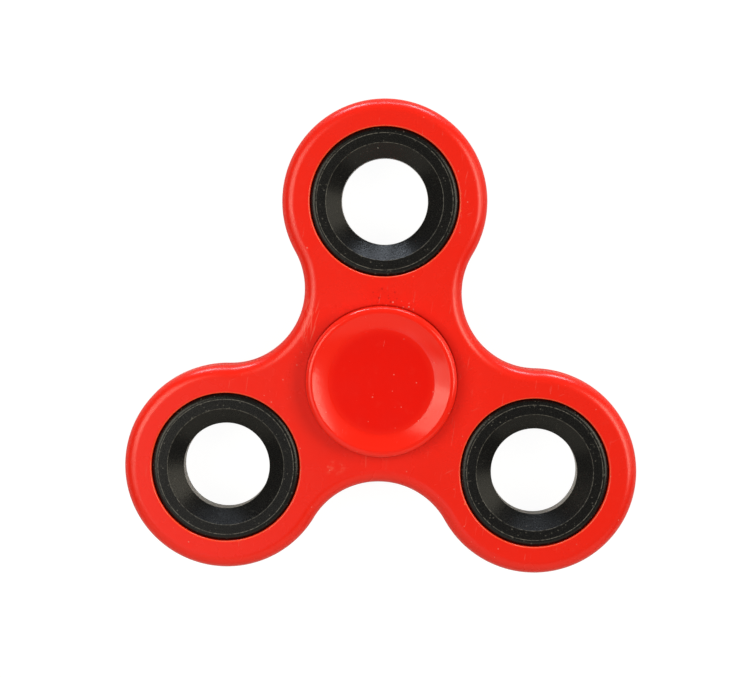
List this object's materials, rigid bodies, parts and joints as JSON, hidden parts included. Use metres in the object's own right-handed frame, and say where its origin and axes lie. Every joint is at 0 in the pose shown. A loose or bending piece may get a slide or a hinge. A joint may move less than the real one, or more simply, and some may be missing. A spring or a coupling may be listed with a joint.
{
  "type": "fidget spinner",
  "caption": "Hand spinner: a tri-lobed plastic frame with ring weights that turns on a ball bearing between two dished finger caps.",
  "frame": {"origin": "centre of the bearing, on the spin axis and midway through the frame's thickness", "axes": "+Z along the spin axis towards the upper cap, +Y from the spin axis to the first lobe, +X to the right of it; lobes at 90, 210 and 330 degrees from +X"},
  "size_m": [0.0762, 0.07, 0.012],
  "materials": {
    "red_plastic": "glossy moulded",
    "black_paint": "semi-gloss black paint, worn at the edges",
    "bearing_steel": "ground and polished",
    "pressed_steel": "pressed sheet"
  },
  "bodies": {
    "hub": {"cap_top": "red_plastic", "cap_bottom": "red_plastic", "inner_race": "bearing_steel"},
    "rotor": {"frame": "red_plastic", "weight_1": "black_paint", "weight_2": "black_paint", "weight_3": "black_paint", "outer_race": "bearing_steel", "shield_top": "pressed_steel", "shield_bottom": "pressed_steel"},
    "cage": {"cage_top": "pressed_steel", "cage_bottom": "pressed_steel", "cage_rivets": "pressed_steel"},
    "ball_1": {"ball_1": "bearing_steel"},
    "ball_2": {"ball_2": "bearing_steel"},
    "ball_3": {"ball_3": "bearing_steel"},
    "ball_4": {"ball_4": "bearing_steel"},
    "ball_5": {"ball_5": "bearing_steel"},
    "ball_6": {"ball_6": "bearing_steel"},
    "ball_7": {"ball_7": "bearing_steel"}
  },
  "joints": [
    {"name": "rotor_spin", "type": "hinge", "parent": "hub", "child": "rotor", "pos_m": [0, 0, 0], "axis": [0, 0, 1], "continuous": true},
    {"name": "cage_spin", "type": "hinge", "parent": "hub", "child": "cage", "pos_m": [0, 0, 0], "axis": [0, 0, 1], "continuous": true},
    {"name": "ball_1_spin", "type": "hinge", "parent": "cage", "child": "ball_1", "pos_m": [0.0075, 0, 0], "axis": [0, 0, 1], "continuous": true},
    {"name": "ball_2_spin", "type": "hinge", "parent": "cage", "child": "ball_2", "pos_m": [0.00468, 0.00586, 0], "axis": [0, 0, 1], "continuous": true},
    {"name": "ball_3_spin", "type": "hinge", "parent": "cage", "child": "ball_3", "pos_m": [-0.00167, 0.00731, 0], "axis": [0, 0, 1], "continuous": true},
    {"name": "ball_4_spin", "type": "hinge", "parent": "cage", "child": "ball_4", "pos_m": [-0.00676, 0.00325, 0], "axis": [0, 0, 1], "continuous": true},
    {"name": "ball_5_spin", "type": "hinge", "parent": "cage", "child": "ball_5", "pos_m": [-0.00676, -0.00325, 0], "axis": [0, 0, 1], "continuous": true},
    {"name": "ball_6_spin", "type": "hinge", "parent": "cage", "child": "ball_6", "pos_m": [-0.00167, -0.00731, 0], "axis": [0, 0, 1], "continuous": true},
    {"name": "ball_7_spin", "type": "hinge", "parent": "cage", "child": "ball_7", "pos_m": [0.00468, -0.00586, 0], "axis": [0, 0, 1], "continuous": true}
  ],
  "couplings": [
    {"joint": "cage_spin", "follows": "rotor_spin", "ratio": 0.6323},
    {"joint": "ball_1_spin", "follows": "rotor_spin", "ratio": 1.7573},
    {"joint": "ball_2_spin", "follows": "rotor_spin", "ratio": 1.7573},
    {"joint": "ball_3_spin", "follows": "rotor_spin", "ratio": 1.7573},
    {"joint": "ball_4_spin", "follows": "rotor_spin", "ratio": 1.7573},
    {"joint": "ball_5_spin", "follows": "rotor_spin", "ratio": 1.7573},
    {"joint": "ball_6_spin", "follows": "rotor_spin", "ratio": 1.7573},
    {"joint": "ball_7_spin", "follows": "rotor_spin", "ratio": 1.7573}
  ]
}
